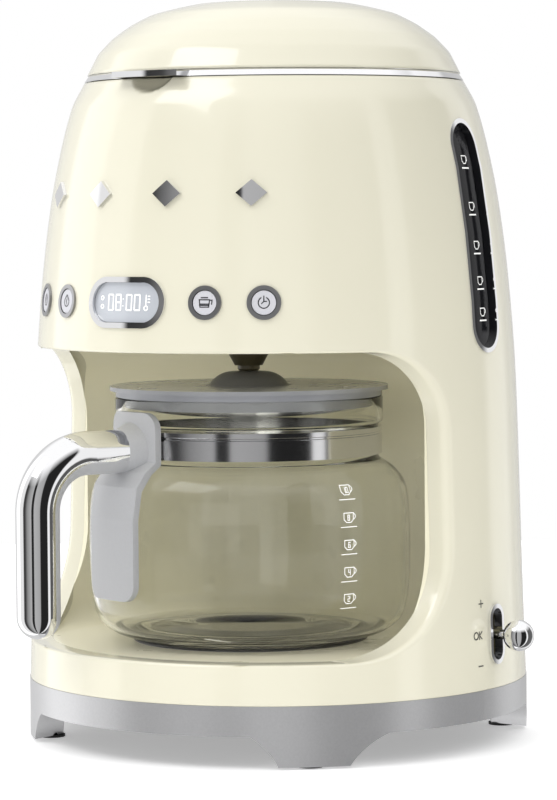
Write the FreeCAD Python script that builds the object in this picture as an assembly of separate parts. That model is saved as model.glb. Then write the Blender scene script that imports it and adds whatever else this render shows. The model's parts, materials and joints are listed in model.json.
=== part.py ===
import FreeCAD, Part
import math
import os

from FreeCAD import Matrix, Vector

# A drip coffee maker, in millimetres. Z is up, the front faces -Y and +X is the viewer's right.
# The shapes are worked out about the body's own upright axis. Each finished piece is then moved
# so that the origin is the bottom centre of the whole machine's box.

# Body: radius at each height. The plan is round.
BODY_OUTLINE = [
    (123.2, 29.0), (121.3, 86.0), (118.6, 176.0), (116.0, 215.0), (112.6, 247.0),
    (107.6, 278.0), (99.8, 309.0), (93.4, 321.5),
]
WALL = 2.6
BODY_BOTTOM = 29.6
BODY_TOP = 321.5

# Base ring and its four feet.
RING_RADIUS = 123.4
RING_WALL = 3.6
RING_LOW = 15.4
FOOT_TIP = 1.2
FOOT_DEPTH = 16.0
FRONT_ARCH = (75.7, 64.3)
SIDE_ARCH = (75.1, 57.3)
SCREW_X = 78.5
SCREW_Y = 83.0
SCREW_LENGTH = 8.6
SCREW_HEAD_R = 3.0
SCREW_R = 1.5
LUG_R = 7.0
LUG_TOP = 27.0
PAD_RADIUS = 113.0
PAD_R = 6.5

# Alcove for the carafe. Its mouth follows one side profile on both sides.
AXIS_Y = -22.0
ALCOVE_FLOOR = 48.6
ALCOVE_CEILING = 192.4
MOUTH_Y = -22.0
MOUTH_TOP_RADIUS = 38.0
MOUTH_LOW_RADIUS = 52.0
RECESS_RADIUS = 106.0
RECESS_Y = -36.0
RECESS_CORNER = 14.0
LIP_DEPTH = 11.0
SPOUT_HOLE_R = 13.0
PLATE_HOLE_R = 54.5

# Lid, its trim band and its hinge.
LID_OUTLINE = [
    (91.9, 325.2), (86.6, 335.6), (79.7, 342.9), (70.8, 349.3), (60.5, 354.6),
    (39.3, 359.6), (21.9, 360.8), (0.0, 361.0),
]
LID_WALL = 2.2
TRIM_LOW = 321.8
TRIM_TOP = 325.0
HINGE_Y = 90.0
HINGE_Z = 326.0
HINGE_PIN_R = 1.5
HINGE_NOTCH = 30.0

# Controls on the front.
CONTROL_Z = 216.0
BUTTON_X = [-66.4, -42.0, 42.0, 66.4]
BUTTON_RING_R = 8.0
BUTTON_CAP_R = 5.65
DISPLAY_SIZE = (46.0, 24.0)
BADGE_ANGLES = [-32.0, -10.5, 10.5, 32.0]
BADGE_Z = 266.8

# Water level window on the right side.
LEVEL_Y = 14.0
LEVEL_Z = (190.0, 302.0)
LEVEL_WIDTH = 27.0

# Lever on the right side.
LEVER_Y = 13.0
LEVER_Z = 55.4
LEVER_PIVOT_X = 110.5
LEVER_BALL_X = 134.7
LEVER_BALL_R = 7.5
LEVER_ROD_R = 2.4
LEVER_SLOT_SIZE = (13.7, 28.9)

# Hole for the cord at the back.
CORD_Z = 40.0
CORD_HOLE_R = 6.1

# Carafe.
PLATE_TOP = 50.0
CARAFE_BASE = 50.3
CARAFE_RIM = 168.0
GLASS_WALL = 2.2
CARAFE_BODY = [
    (56.8, CARAFE_BASE), (66.3, 53.0), (73.8, 58.7), (77.0, 67.0), (78.4, 80.0), (78.5, 110.0),
    (76.4, 125.0), (71.0, 132.8), (64.6, 137.2),
]
NECK_WAIST = 63.2
NECK_R = 65.7
HANDLE_TURN = -18.0
HANDLE_REACH = 120.6
HANDLE_TOP = 144.0
HANDLE_LOW = 67.5
HANDLE_BEND = 27.0
HANDLE_R = 10.5
HANDLE_SPLIT = 4.0
MOUNT_WIDTH = 38.0
MOUNT_Z = (72.9, 162.5)
MOUNT_CORNER = 8.0
BOSS_R = 15.0
BOSS_LENGTH = 9.0
BOSS_REACH = 75.4
DOME_TOP = 180.0
DOME_TOP_R = 7.6

# Spout of the filter holder.
SPOUT_TIP_R = 6.9
SPOUT_TIP_Z = 183.0
SPOUT_BORE_R = 6.0

# Filter and water path.
DECK_Z = (310.0, 312.5)
TANK_LOW = 200.0
TANK_STEP = 258.0
TANK_TOP = 306.0
TANK_WIDE_R = 101.5
TANK_NARROW_R = 91.5
TANK_INNER_R = 70.0
TANK_FRONT_Y = 2.0
TANK_WALL = 2.0
HOSE_X = 30.0
HOSE_Y = 78.0
HOSE_R = 5.0
HEATER_Z = 40.0
HEATER_R = 44.0
HEATER_END_X = 18.0

FULL_TURN = 360.0
UP = Vector(0, 0, 1)
FAR = 200.0

# The machine's box, from the outermost pieces, gives the place of the origin.
BOX_LEFT = -RING_RADIUS
BOX_RIGHT = LEVER_BALL_X + LEVER_BALL_R
BOX_BACK = RING_RADIUS
HANDLE_DIRECTION = Vector(
    math.sin(math.radians(HANDLE_TURN)), -math.cos(math.radians(HANDLE_TURN)), 0)
BOX_FRONT = AXIS_Y + HANDLE_DIRECTION.y * HANDLE_REACH - HANDLE_R
ORIGIN_SHIFT = Vector(-(BOX_LEFT + BOX_RIGHT) / 2, -(BOX_FRONT + BOX_BACK) / 2, 0)


# ---------------------------------------------------------------- helpers

def save(node, shape):
    """Write one piece, moved to the machine's frame."""
    moved = shape.copy()
    moved.translate(ORIGIN_SHIFT)
    moved.exportStep(os.path.join("parts", node + ".step"))


def box(x_range, y_range, z_range):
    """Upright block between three pairs of limits."""
    size = [high - low for low, high in (x_range, y_range, z_range)]
    return Part.makeBox(size[0], size[1], size[2], Vector(x_range[0], y_range[0], z_range[0]))


def cylinder(radius, z_range, x=0.0, y=0.0):
    """Upright cylinder."""
    return Part.makeCylinder(radius, z_range[1] - z_range[0], Vector(x, y, z_range[0]))


def tube(outer, inner, z_range, x=0.0, y=0.0):
    """Upright ring."""
    return cylinder(outer, z_range, x, y).cut(cylinder(inner, z_range, x, y))


def line_edges(points):
    """Straight edges through (radius, height) points."""
    corners = [Vector(radius, 0, height) for radius, height in points]
    return [Part.makeLine(a, b) for a, b in zip(corners, corners[1:])]


def spun(edges, turn=FULL_TURN):
    """Solid of a closed half section turned about the Z axis."""
    face = Part.Face(Part.Wire(Part.__sortEdges__(edges)))
    return face.revolve(Vector(0, 0, 0), UP, turn)


def spun_points(points):
    """Solid of a closed polygon of (radius, height) points turned about the Z axis."""
    return spun(line_edges(points + points[:1]))


def on_axis(shape):
    """Move a shape from the Z axis to the carafe's axis."""
    moved = shape.copy()
    moved.translate(Vector(0, AXIS_Y, 0))
    return moved


def fused(shapes):
    """Join shapes and tidy the seams."""
    whole = shapes[0]
    for shape in shapes[1:]:
        whole = whole.fuse(shape)
    return whole.removeSplitter()


def stadium(width, height, centre, direction, length):
    """Upright slot shape with round ends, pushed along a level direction."""
    radius = width / 2
    side = direction.cross(UP)
    half = height / 2 - radius
    slab = Part.makeBox(width, 2 * half, length)
    slab.translate(Vector(-radius, -half, 0))
    ends = [Part.makeCylinder(radius, length, Vector(0, sign * half, 0)) for sign in (-1, 1)]
    shape = fused([slab] + ends)
    matrix = Matrix(side.x, UP.x, direction.x, centre.x,
                    side.y, UP.y, direction.y, centre.y,
                    side.z, UP.z, direction.z, centre.z,
                    0, 0, 0, 1)
    shape.transformShape(matrix)
    return shape


def body_solid(offset, z_range):
    """Solid of the body's outer shape, with its side moved by offset, between two heights."""
    low = max(z_range[0], BODY_OUTLINE[0][1])
    high = min(z_range[1], BODY_OUTLINE[-1][1])
    between = [height for _, height in BODY_OUTLINE if low < height < high]
    side = [(body_radius(height) + offset, height) for height in [low] + between + [high]]
    return spun_points(side + [(0, high), (0, low)])


def skin(inner, outer, z_range):
    """Thin layer between two offsets of the body's side."""
    return body_solid(outer, z_range).cut(body_solid(inner, z_range))


def body_radius(height):
    """Radius of the body at one height."""
    for (wide, low), (narrow, high) in zip(BODY_OUTLINE, BODY_OUTLINE[1:]):
        if height <= high:
            return wide + (narrow - wide) * (height - low) / (high - low)
    return BODY_OUTLINE[-1][0]


def front_point(x, height):
    """Point on the front of the body and the outward direction there."""
    radius = body_radius(height)
    slope = body_radius(height + 1) - body_radius(height - 1)
    y = -math.sqrt(radius * radius - x * x)
    outward = Vector(x, y, -radius * slope / 2)
    return Vector(x, y, height), outward.normalize()


def rod(radius, start, end, direction, point):
    """Cylinder along a direction, between two distances from a point."""
    return Part.makeCylinder(radius, end - start, point + direction * start, direction)


def rounded_path(points, radius):
    """Wire of straight runs with a tangent arc at each inner point."""
    edges = []
    start = points[0]
    for before, corner, after in zip(points, points[1:], points[2:]):
        arrive = (corner - before).normalize()
        leave = (after - corner).normalize()
        half_turn = arrive.getAngle(leave) / 2
        reach = radius * math.tan(half_turn)
        enter = corner - arrive * reach
        out = corner + leave * reach
        bisector = (leave - arrive).normalize()
        centre = corner + bisector * (radius / math.cos(half_turn))
        middle = centre - bisector * radius
        edges.append(Part.makeLine(start, enter))
        edges.append(Part.Arc(enter, middle, out).toShape())
        start = out
    edges.append(Part.makeLine(start, points[-1]))
    return Part.Wire(edges)


def hose(points, radius, bore, bend):
    """Round tube along a rounded path."""
    path = rounded_path(points, bend)
    direction = (points[1] - points[0]).normalize()
    rings = [Part.Wire(Part.makeCircle(r, points[0], direction)) for r in (radius, bore)]
    pipes = [path.makePipeShell([ring], True, True) for ring in rings]
    return pipes[0].cut(pipes[1])


# ---------------------------------------------------------------- casing

def alcove_void(grow):
    """Space of the alcove, made larger all round by grow."""
    top = ALCOVE_CEILING + grow
    low = ALCOVE_FLOOR - grow
    back = MOUTH_Y + grow
    top_r = MOUTH_TOP_RADIUS + grow
    low_r = MOUTH_LOW_RADIUS + grow
    slant = math.sqrt(0.5)

    def place(y, z):
        return Vector(-FAR, y, z)

    edges = [
        Part.makeLine(place(-FAR, low), place(back - low_r, low)),
        Part.Arc(place(back - low_r, low),
                 place(back - low_r * (1 - slant), low + low_r * (1 - slant)),
                 place(back, low + low_r)).toShape(),
        Part.makeLine(place(back, low + low_r), place(back, top - top_r)),
        Part.Arc(place(back, top - top_r),
                 place(back - top_r * (1 - slant), top - top_r * (1 - slant)),
                 place(back - top_r, top)).toShape(),
        Part.makeLine(place(back - top_r, top), place(-FAR, top)),
        Part.makeLine(place(-FAR, top), place(-FAR, low)),
    ]
    mouth = Part.Face(Part.Wire(edges)).extrude(Vector(2 * FAR, 0, 0))
    width = RECESS_RADIUS + grow
    corner = RECESS_CORNER + grow
    fall = corner * (1 - slant)
    section = [
        Part.makeLine(Vector(0, 0, low), Vector(width - corner, 0, low)),
        Part.Arc(Vector(width - corner, 0, low), Vector(width - fall, 0, low + fall),
                 Vector(width, 0, low + corner)).toShape(),
        Part.makeLine(Vector(width, 0, low + corner), Vector(width, 0, top - corner)),
        Part.Arc(Vector(width, 0, top - corner), Vector(width - fall, 0, top - fall),
                 Vector(width - corner, 0, top)).toShape(),
        Part.makeLine(Vector(width - corner, 0, top), Vector(0, 0, top)),
        Part.makeLine(Vector(0, 0, top), Vector(0, 0, low)),
    ]
    recess = spun(section)
    recess.translate(Vector(0, RECESS_Y, 0))
    return mouth.fuse(recess)


def openings_in_shell():
    """Holes in the outer skin for the controls, window, lever and cord."""
    holes = []
    for x in BUTTON_X:
        point, outward = front_point(x, CONTROL_Z)
        holes.append(rod(BUTTON_RING_R + 0.05, -8, 8, outward, point))
    width, height = DISPLAY_SIZE
    holes.append(display_slot(width + 0.1, height + 0.1))
    holes.append(level_slot(0.1))
    holes.append(lever_slot(0.1))
    holes.append(Part.makeCylinder(CORD_HOLE_R, 30, Vector(0, 110, CORD_Z), Vector(0, 1, 0)))
    return holes


def display_slot(width, height):
    """Flat oval block through the front, for the display and its surround."""
    shape = stadium(height, width, Vector(0, 0, 0), Vector(0, -1, 0), FAR)
    shape.rotate(Vector(0, 0, 0), Vector(0, 1, 0), 90)
    shape.translate(Vector(0, 0, CONTROL_Z))
    return shape


def level_slot(grow):
    """Upright slot block through the right side, for the water window."""
    low, high = LEVEL_Z
    centre = Vector(60, LEVEL_Y, (low + high) / 2)
    return stadium(LEVEL_WIDTH + grow, high - low + grow, centre, Vector(1, 0, 0), 100)


def lever_slot(grow):
    """Upright slot block through the right side, for the lever."""
    width, height = LEVER_SLOT_SIZE
    centre = Vector(60, LEVER_Y, LEVER_Z)
    return stadium(width + grow, height + grow, centre, Vector(1, 0, 0), 100)


def casing_walls():
    """Outer skin and alcove wall as one thickness."""
    everything = (BODY_BOTTOM, BODY_TOP)
    block = body_solid(0, everything).cut(alcove_void(0))
    return block.cut(body_solid(-WALL, everything).cut(alcove_void(WALL)))


def thumb_scoop():
    """Shallow scoop under the lid's lift tab."""
    return Part.makeSphere(16.0, Vector(-1.0, -BODY_OUTLINE[-1][0] - 5.0, 330.5))


def make_casing():
    """Outer shell and the alcove's liner, split a little inside the lip."""
    walls = casing_walls()
    inner_zone = body_solid(-LIP_DEPTH, (ALCOVE_FLOOR - 10, ALCOVE_CEILING + 10))
    shell = walls.cut(inner_zone)
    for hole in openings_in_shell():
        shell = shell.cut(hole)
    shell = shell.cut(thumb_scoop())
    liner = walls.common(inner_zone)
    liner = liner.cut(cylinder(SPOUT_HOLE_R, (ALCOVE_CEILING - 10, ALCOVE_CEILING + 10), 0, AXIS_Y))
    liner = liner.cut(cylinder(PLATE_HOLE_R, (ALCOVE_FLOOR - 10, ALCOVE_FLOOR + 1), 0, AXIS_Y))
    save("body_shell", shell)
    save("alcove_liner", liner)


def arch_cutter(half_low, half_top, direction):
    """Space between two neighbouring feet, open outwards along a level direction."""
    side = direction.cross(UP)

    def place(across, height):
        return side * across + UP * height + direction * 40

    def flank(sign):
        reach = half_low - half_top
        return Part.Arc(place(sign * half_low, -1),
                        place(sign * (half_low - 0.3 * reach), 0.45 * RING_LOW),
                        place(sign * half_top, RING_LOW)).toShape()

    edges = [
        flank(-1),
        Part.makeLine(place(-half_top, RING_LOW), place(half_top, RING_LOW)),
        flank(1),
        Part.makeLine(place(half_low, -1), place(-half_low, -1)),
    ]
    face = Part.Face(Part.Wire(Part.__sortEdges__(edges)))
    return face.extrude(direction * FAR)


def make_base():
    """Base ring with its feet, rubber pads, bottom plate and screws."""
    outer = cylinder(RING_RADIUS, (FOOT_TIP, BODY_BOTTOM))
    ring = outer.cut(cylinder(RING_RADIUS - RING_WALL, (0, BODY_BOTTOM)))
    foot_wall = outer.cut(cylinder(RING_RADIUS - FOOT_DEPTH, (0, BODY_BOTTOM)))
    foot_wall = foot_wall.common(box((-FAR, FAR), (-FAR, FAR), (FOOT_TIP, RING_LOW)))
    ring = ring.fuse(foot_wall)
    for direction, arch in (
            (Vector(0, -1, 0), FRONT_ARCH), (Vector(0, 1, 0), FRONT_ARCH),
            (Vector(1, 0, 0), SIDE_ARCH), (Vector(-1, 0, 0), SIDE_ARCH)):
        ring = ring.cut(arch_cutter(arch[0], arch[1], direction))
    lugs = []
    screws = []
    plate = cylinder(RING_RADIUS - RING_WALL - 0.2, (RING_LOW + 0.1, RING_LOW + 2.1))
    for x in (-SCREW_X, SCREW_X):
        for y in (-SCREW_Y, SCREW_Y):
            lugs.append(cylinder(LUG_R, (RING_LOW + 2.2, LUG_TOP), x, y))
            plate = plate.cut(cylinder(SCREW_R + 0.1, (0, LUG_TOP - 1), x, y))
            screws.append(cylinder(SCREW_HEAD_R, (RING_LOW - 2, RING_LOW), x, y).fuse(
                cylinder(SCREW_R, (RING_LOW, RING_LOW + SCREW_LENGTH), x, y)))
    ring = fused([ring] + lugs)
    for x in (-SCREW_X, SCREW_X):
        for y in (-SCREW_Y, SCREW_Y):
            ring = ring.cut(cylinder(SCREW_HEAD_R + 1, (0, RING_LOW), x, y))
            ring = ring.cut(cylinder(SCREW_R + 0.1, (0, LUG_TOP - 1), x, y))
    save("base_ring", ring)
    save("base_plate", plate)
    save("base_screws", Part.makeCompound(screws))
    pads = []
    for angle in (45, 135, 225, 315):
        centre = Vector(PAD_RADIUS * math.cos(math.radians(angle)),
                        PAD_RADIUS * math.sin(math.radians(angle)), 0)
        pads.append(Part.makeCylinder(PAD_R, FOOT_TIP, centre))
    save("foot_pads", Part.makeCompound(pads))


# ---------------------------------------------------------------- lid

def lid_dome(offset, low):
    """Solid of the lid's outer shape, moved inwards by offset."""
    outline = [(max(radius - offset, 0), height - offset) for radius, height in LID_OUTLINE]
    outline[0] = (outline[0][0], low)
    return spun_points(outline + [(0, low)])


def make_lid():
    """Domed lid, its trim band with the lift tab, inner cover, hinge and shower head."""
    notch = box((-HINGE_NOTCH, HINGE_NOTCH), (82.5, 110), (TRIM_LOW - 5, 331))
    low = LID_OUTLINE[0][1]
    shell = lid_dome(0, low).cut(lid_dome(LID_WALL, low - 0.5)).cut(notch)
    save("lid_shell", shell)

    band = spun_points([(93.4, TRIM_LOW), (91.2, TRIM_TOP), (85.5, TRIM_TOP), (85.5, TRIM_LOW)])
    tab = box((-21, 19), (-106.5, -88), (TRIM_LOW, TRIM_TOP - 0.4))
    tab = tab.common(cylinder(101.0, (TRIM_LOW - 1, TRIM_TOP + 1)))
    band = band.fuse(tab).cut(notch)
    save("lid_trim_band", band)

    cover = cylinder(85.2, (322.6, 324.6)).cut(box((-26, 26), (79, 110), (320, 330)))
    save("lid_inner_cover", cover)

    arms = []
    for x_range in ((-19.5, -15.0), (15.0, 19.5)):
        eye = Part.makeCylinder(3.6, x_range[1] - x_range[0], Vector(x_range[0], HINGE_Y, HINGE_Z),
                                Vector(1, 0, 0))
        bar = box(x_range, (70, HINGE_Y), (324.8, 328.2))
        arm = fused([eye, bar])
        arms.append(arm)
    bridge = box((-19.5, 19.5), (70, 77), (324.8, 328.2))
    hinge = fused(arms + [bridge]).cut(
        Part.makeCylinder(HINGE_PIN_R + 0.05, 60, Vector(-30, HINGE_Y, HINGE_Z), Vector(1, 0, 0)))
    save("lid_hinge_arms", hinge)
    save("hinge_pin", Part.makeCylinder(
        HINGE_PIN_R, 44, Vector(-22, HINGE_Y, HINGE_Z), Vector(1, 0, 0)))

    knuckle = Part.makeCylinder(3.4, 29.0, Vector(-14.5, HINGE_Y, HINGE_Z), Vector(1, 0, 0))
    post = box((-14.5, 14.5), (85.0, 88.5), (DECK_Z[1], HINGE_Z))
    bracket = fused([knuckle, post]).cut(
        Part.makeCylinder(HINGE_PIN_R + 0.02, 60, Vector(-30, HINGE_Y, HINGE_Z), Vector(1, 0, 0)))
    save("hinge_bracket", bracket)

    head = cylinder(28, (315.5, 322.5), 0, AXIS_Y)
    duct = Part.makeBox(14, 106, 5)
    duct.translate(Vector(-7, -6, 317.5))
    duct.rotate(Vector(0, 0, 0), UP, -math.degrees(math.atan2(HOSE_X, HOSE_Y - AXIS_Y)))
    duct.translate(Vector(0, AXIS_Y, 0))
    head = fused([head, duct])
    head = head.cut(cylinder(26, (317.0, 321.0), 0, AXIS_Y))
    for ring_radius, count in ((0, 1), (9, 6), (19, 12)):
        for index in range(count):
            angle = 2 * math.pi * index / count
            x = ring_radius * math.cos(angle)
            y = AXIS_Y + ring_radius * math.sin(angle)
            head = head.cut(cylinder(1.2, (315, 317.5), x, y))
    save("shower_head", head)
    save("lid_screws", Part.makeCompound([
        cylinder(2.2, (320.8, 322.5), x, y) for x, y in ((-60, -30), (60, -30), (-50, 40), (50, 30))
    ]))


# ---------------------------------------------------------------- controls

def make_controls():
    """Display, buttons, rings, switches, boards and badges."""
    width, height = DISPLAY_SIZE
    front_only = box((-FAR, FAR), (-FAR, 0), (0, FAR * 2))
    band = (CONTROL_Z - 20, CONTROL_Z + 20)
    surround = display_slot(width, height).cut(display_slot(width - 5.6, height - 5.2))
    save("display_bezel", surround.common(skin(-4, 1.1, band)).common(front_only))
    save("display_screen", display_slot(width - 5.8, height - 5.4).common(
        skin(-3.4, -0.6, band)).common(front_only))
    save("display_module", display_slot(width - 9, height - 8).common(
        skin(-10, -3.6, band)).common(front_only))

    rings = []
    switches = []
    for index, x in enumerate(BUTTON_X):
        point, outward = front_point(x, CONTROL_Z)
        ring = rod(BUTTON_RING_R, -6, 0.9, outward, point).cut(
            rod(BUTTON_CAP_R + 0.35, -6, 0.9, outward, point))
        rings.append(ring)
        cap = fused([
            rod(BUTTON_CAP_R, -5.7, 0.5, outward, point),
            rod(BUTTON_RING_R - 1.0, -7.6, -6.4, outward, point),
            rod(BUTTON_CAP_R - 1.5, -6.5, -5.6, outward, point),
            rod(2.0, -11.0, -7.5, outward, point),
        ])
        save("button_%d" % (index + 1), cap)
        switches.append(rod(3.0, -17.0, -12.5, outward, point))
    save("button_rings", Part.makeCompound(rings))
    save("button_switches", Part.makeCompound(switches))
    board = skin(-19.0, -17.4, (CONTROL_Z - 13, CONTROL_Z + 13)).common(
        box((-80, 80), (-FAR, 0), (0, FAR * 2)))
    save("control_board", board)

    badges = []
    for angle in BADGE_ANGLES:
        toward = Vector(math.sin(math.radians(angle)), -math.cos(math.radians(angle)), 0)
        diamond = Part.makeBox(9.5, 9.5, FAR, Vector(-4.75, -4.75, 0))
        diamond.rotate(Vector(0, 0, 0), UP, 45)
        side = toward.cross(UP)
        matrix = Matrix(side.x * 1.1, 0, toward.x, 0,
                        side.y * 1.1, 0, toward.y, 0,
                        0, 0.92, 0, BADGE_Z,
                        0, 0, 0, 1)
        diamond = diamond.transformGeometry(matrix)
        badges.append(diamond.common(skin(0, 1.8, (BADGE_Z - 12, BADGE_Z + 12))))
    save("front_badges", Part.makeCompound(badges))


# ---------------------------------------------------------------- side window and lever

def make_side():
    """Water window and its frame, lever, lever frame and switches."""
    right_only = box((0, FAR), (-FAR, FAR), (0, FAR * 2))
    low, high = LEVEL_Z
    band = (low - 5, high + 5)
    frame = level_slot(0).cut(level_slot(-4.4))
    save("level_frame", frame.common(skin(-5.2, 0.8, band)).common(right_only))
    save("level_window", level_slot(-4.6).common(skin(-5.2, -3.6, band)).common(right_only))

    band = (LEVER_Z - 20, LEVER_Z + 20)
    surround = lever_slot(0).cut(lever_slot(-4.2))
    save("lever_bezel", surround.common(skin(-3.2, 1.3, band)).common(right_only))

    axis = Vector(0, 1, 0)
    pivot = Vector(LEVER_PIVOT_X, LEVER_Y, LEVER_Z)
    hub = fused([
        Part.makeCylinder(4.6, 9.0, pivot - axis * 4.5, axis),
        Part.makeCylinder(1.5, 16.0, pivot - axis * 8.0, axis),
    ])
    bore = Part.makeCylinder(LEVER_ROD_R + 0.05, 30, Vector(95, LEVER_Y, LEVER_Z), Vector(1, 0, 0))
    save("lever_rocker", hub.cut(bore))
    lever_rod = Part.makeCylinder(
        LEVER_ROD_R, LEVER_BALL_X - 5 - 108, Vector(108.0, LEVER_Y, LEVER_Z), Vector(1, 0, 0))
    ball_seat = Part.makeSphere(LEVER_BALL_R, Vector(LEVER_BALL_X, LEVER_Y, LEVER_Z))
    save("lever_rod", lever_rod.cut(ball_seat))
    save("lever_ball", ball_seat)

    cheeks = []
    for y_range in ((LEVER_Y - 7.4, LEVER_Y - 4.9), (LEVER_Y + 4.9, LEVER_Y + 7.4)):
        cheeks.append(box((104.3, 115.4), y_range, (LEVER_Z - 9, LEVER_Z + 8)))
    back = box((103.9, 105.2), (LEVER_Y - 7.4, LEVER_Y + 7.4), (LEVER_Z - 9, LEVER_Z + 8))
    holder = fused(cheeks + [back]).cut(
        Part.makeCylinder(1.55, 30, pivot - axis * 15, axis))
    holder = holder.cut(alcove_void(WALL + 0.3))
    save("lever_frame", holder)
    save("lever_switches", Part.makeCompound([
        box((106.5, 112.5), (LEVER_Y - 3, LEVER_Y + 3), (z, z + 3.5))
        for z in (LEVER_Z - 8.9, LEVER_Z + 5.2)
    ]))


# ---------------------------------------------------------------- water path and brewing

def tank_block(inset, radius, z_range):
    """Crescent block behind and beside the filter holder."""
    block = cylinder(radius - inset, z_range)
    block = block.common(box((-FAR, FAR), (TANK_FRONT_Y + inset, FAR), z_range))
    return block.cut(cylinder(TANK_INNER_R + inset, z_range, 0, AXIS_Y))


def tank_solid(inset, low, step, high):
    """Tank's shape in two steps, the lower one wider, with its walls moved in by inset."""
    return tank_block(inset, TANK_WIDE_R, (low, step)).fuse(
        tank_block(inset, TANK_NARROW_R, (low, high)))


def make_water_path():
    """Tank, hoses, check valve, nozzle and the deck above them."""
    low, high = TANK_LOW, TANK_TOP
    outside = tank_solid(0, low, TANK_STEP, high)
    inside = tank_solid(TANK_WALL, low + TANK_WALL, TANK_STEP - TANK_WALL, high + 1)
    well = cylinder(HOSE_R + 3.5, (low, high), HOSE_X, HOSE_Y)
    tank = fused([outside.cut(inside), well.common(outside)])
    tank = tank.cut(cylinder(HOSE_R + 1.0, (low - 1, high + 1), HOSE_X, HOSE_Y))
    outlet = tube(HOSE_R - 1.5, HOSE_R - 3.0, (low - 8, low + 2), -HOSE_X, HOSE_Y)
    tank = tank.cut(cylinder(HOSE_R - 3.0, (low - 1, low + 3), -HOSE_X, HOSE_Y)).fuse(outlet)
    save("water_tank", tank)

    deck = body_solid(-WALL - 0.1, DECK_Z)
    deck = deck.cut(cylinder(62.0, (DECK_Z[0] - 1, DECK_Z[1] + 1), 0, AXIS_Y))
    deck = deck.cut(box((-62, 14), (52, 76), (DECK_Z[0] - 1, DECK_Z[1] + 1)))
    deck = deck.cut(cylinder(HOSE_R + 1.0, (DECK_Z[0] - 1, DECK_Z[1] + 1), HOSE_X, HOSE_Y))
    save("top_deck", deck)

    heater_end = Vector(HEATER_END_X, AXIS_Y + math.sqrt(HEATER_R ** 2 - HEATER_END_X ** 2), HEATER_Z)
    start_cold = Vector(-heater_end.x, heater_end.y + 10.5, HEATER_Z)
    start_hot = Vector(heater_end.x, heater_end.y + 10.5, HEATER_Z)
    valve_low, valve_high = 108.0, 132.0
    hose_bore = HOSE_R - 1.5
    cold_low = hose([
        start_cold, Vector(-HOSE_X, HOSE_Y, HEATER_Z), Vector(-HOSE_X, HOSE_Y, valve_low)
    ], HOSE_R, hose_bore, 14)
    cold_high = tube(HOSE_R, hose_bore, (valve_high, low), -HOSE_X, HOSE_Y)
    save("cold_hose", Part.makeCompound([cold_low, cold_high]))
    valve = fused([
        cylinder(7.5, (valve_low + 3, valve_high - 3), -HOSE_X, HOSE_Y),
        cylinder(4.5, (valve_low, valve_high), -HOSE_X, HOSE_Y),
    ]).cut(cylinder(2.0, (valve_low, valve_high), -HOSE_X, HOSE_Y))
    save("check_valve", valve)
    hot = hose([
        start_hot, Vector(HOSE_X, HOSE_Y, HEATER_Z), Vector(HOSE_X, HOSE_Y, 306)
    ], HOSE_R, hose_bore, 14)
    save("hot_hose", hot)
    nozzle = tube(HOSE_R, 2.5, (306, 317.0), HOSE_X, HOSE_Y)
    save("water_nozzle", nozzle)

    turn_gap = math.degrees(math.asin(HEATER_END_X / HEATER_R))
    pipe = Part.makeTorus(HEATER_R, 4.0, Vector(0, 0, 0), UP, 0, FULL_TURN, FULL_TURN - 2 * turn_gap)
    pipe.rotate(Vector(0, 0, 0), UP, 90 + turn_gap)
    pipe.translate(Vector(0, AXIS_Y, HEATER_Z))
    ends = [
        rod(4.0, 0, 8.5, Vector(0, 1, 0), Vector(sign * heater_end.x, heater_end.y, HEATER_Z))
        for sign in (-1, 1)
    ]
    joint_balls = [Part.makeSphere(4.0, Vector(sign * heater_end.x, heater_end.y, HEATER_Z))
                   for sign in (-1, 1)]
    save("heater_tube", fused([pipe] + ends + joint_balls))
    clamp = fused([
        box((-52, 52), (AXIS_Y - 8, AXIS_Y + 8), (33.0, 35.5)),
        box((-8, 8), (AXIS_Y - 50, AXIS_Y + 30), (33.0, 35.5)),
    ])
    save("heater_clamp", clamp)
    save("thermostat", cylinder(8.5, (36.0, 46.0), 0, AXIS_Y))
    fuse_body = Part.makeCylinder(3.0, 16, Vector(16, AXIS_Y - 20, 41.5), Vector(1, 0, 0))
    save("thermal_fuse", fuse_body)


def make_warming_plate():
    """Plate that the carafe stands on, and its seal."""
    plate = spun_points([
        (0, PLATE_TOP - 1.2), (51.0, PLATE_TOP - 1.2), (51.0, 45.0), (53.0, 45.0),
        (53.0, ALCOVE_FLOOR + 0.3), (57.5, ALCOVE_FLOOR + 0.3), (57.5, PLATE_TOP - 0.4),
        (57.1, PLATE_TOP), (0, PLATE_TOP),
    ])
    save("warming_plate", on_axis(plate))
    save("plate_seal", tube(57.0, 53.1, (ALCOVE_FLOOR, ALCOVE_FLOOR + 0.3), 0, AXIS_Y))


def make_filter():
    """Filter holder, permanent filter and drip valve."""
    holder = spun_points([
        (65.0, 314.5), (65.0, 312.6), (61.5, 312.6), (61.5, 300.0), (30.0, 215.0),
        (16.0, 203.0), (12.0, 199.0), (11.2, 194.0), (10.4, 189.5), (SPOUT_TIP_R, SPOUT_TIP_Z),
        (SPOUT_BORE_R, SPOUT_TIP_Z), (SPOUT_BORE_R, 192.0), (7.0, 194.0), (7.0, 205.0),
        (13.5, 205.0), (28.4, 216.5), (59.5, 300.5), (59.5, 314.5),
    ])
    save("filter_holder", on_axis(holder))
    mesh_cup = spun_points([
        (58.8, 314.0), (57.8, 314.0), (57.8, 301.0), (26.2, 221.0), (0, 221.0), (0, 220.0),
        (27.0, 220.0), (58.8, 300.8),
    ])
    save("permanent_filter", on_axis(mesh_cup))
    valve = spun_points([
        (0, DOME_TOP + 0.3), (4.6, DOME_TOP + 0.3), (5.5, DOME_TOP + 1.2), (5.5, 188.5),
        (2.5, 190.0), (2.5, 208.3),
        (10.5, 208.3), (10.5, 210.3), (0, 210.3),
    ])
    save("drip_valve", on_axis(valve))


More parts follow.
